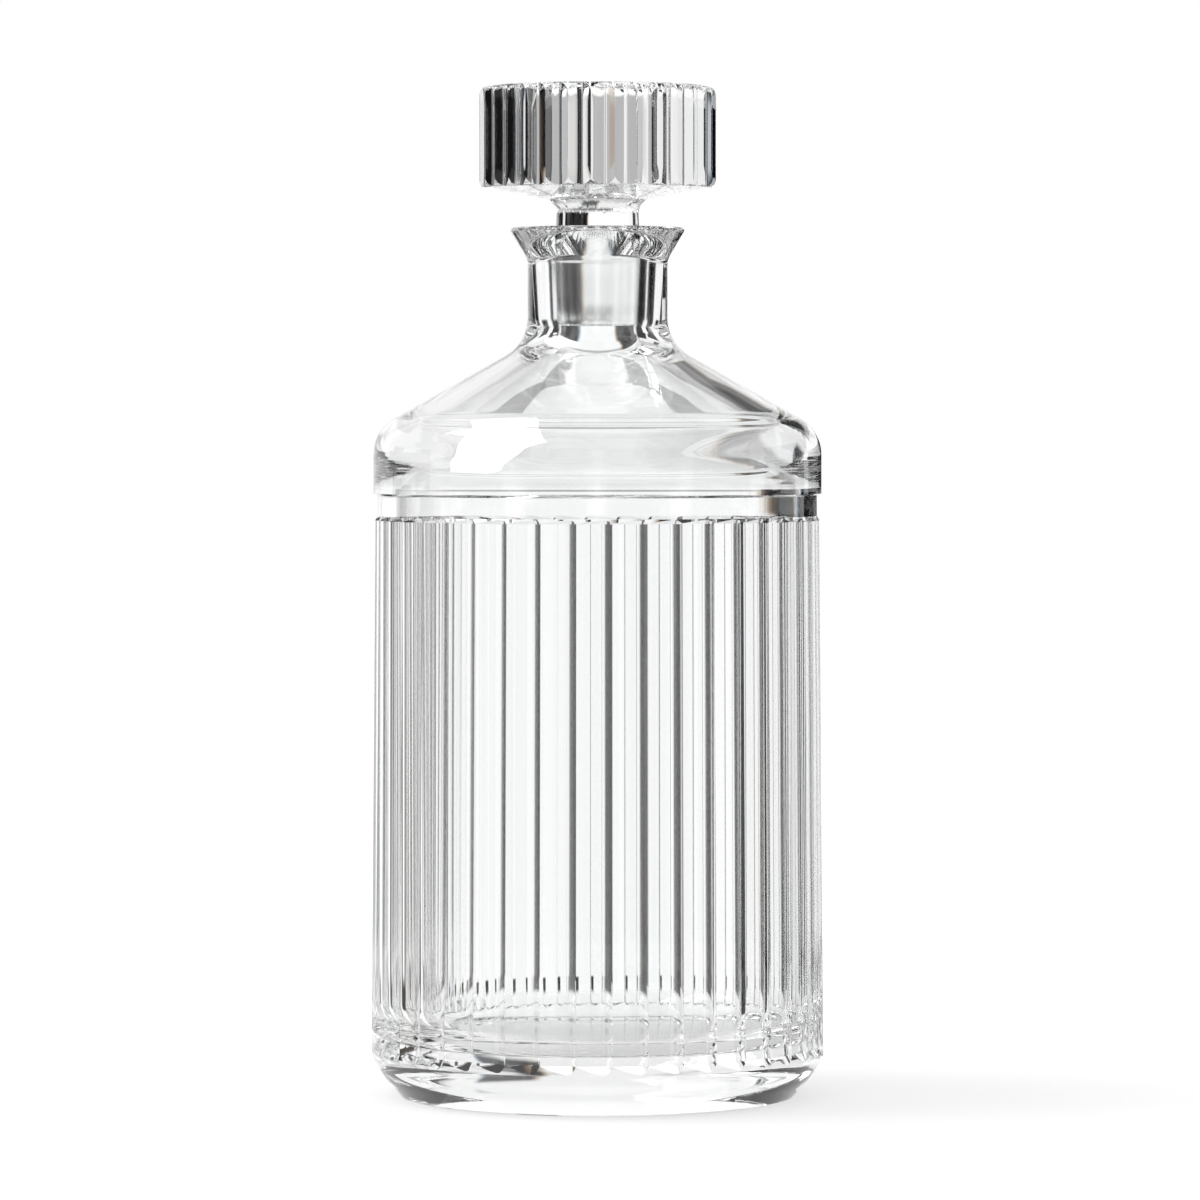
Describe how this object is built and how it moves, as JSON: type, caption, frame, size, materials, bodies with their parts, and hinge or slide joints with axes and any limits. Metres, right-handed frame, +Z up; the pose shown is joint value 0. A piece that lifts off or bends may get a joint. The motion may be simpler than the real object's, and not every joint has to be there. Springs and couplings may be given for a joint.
{
  "type": "decanter",
  "caption": "Cut crystal decanter with a fluted cylindrical body, sloping shoulder, flared neck and a fluted drum stopper on a ground plug.",
  "frame": {"origin": "centre of the foot, on the surface that the decanter stands on", "axes": "+Z up along the decanter's axis of turning, from the foot to the stopper; -Y is the side that faces the viewer"},
  "size_m": [0.1088, 0.1088, 0.242],
  "materials": {
    "crystal": "clear colourless cut crystal, polished, with a satin ground bore in the neck",
    "stopper_crystal": "clear colourless cut crystal, polished, with a satin ground plug"
  },
  "bodies": {
    "vessel": {"vessel": "crystal"},
    "stopper": {"stopper": "stopper_crystal"}
  },
  "joints": [
    {"name": "stopper_lift", "type": "slide", "parent": "vessel", "child": "stopper", "axis": [0, 0, 1], "range_m": [0, 0.06]}
  ]
}
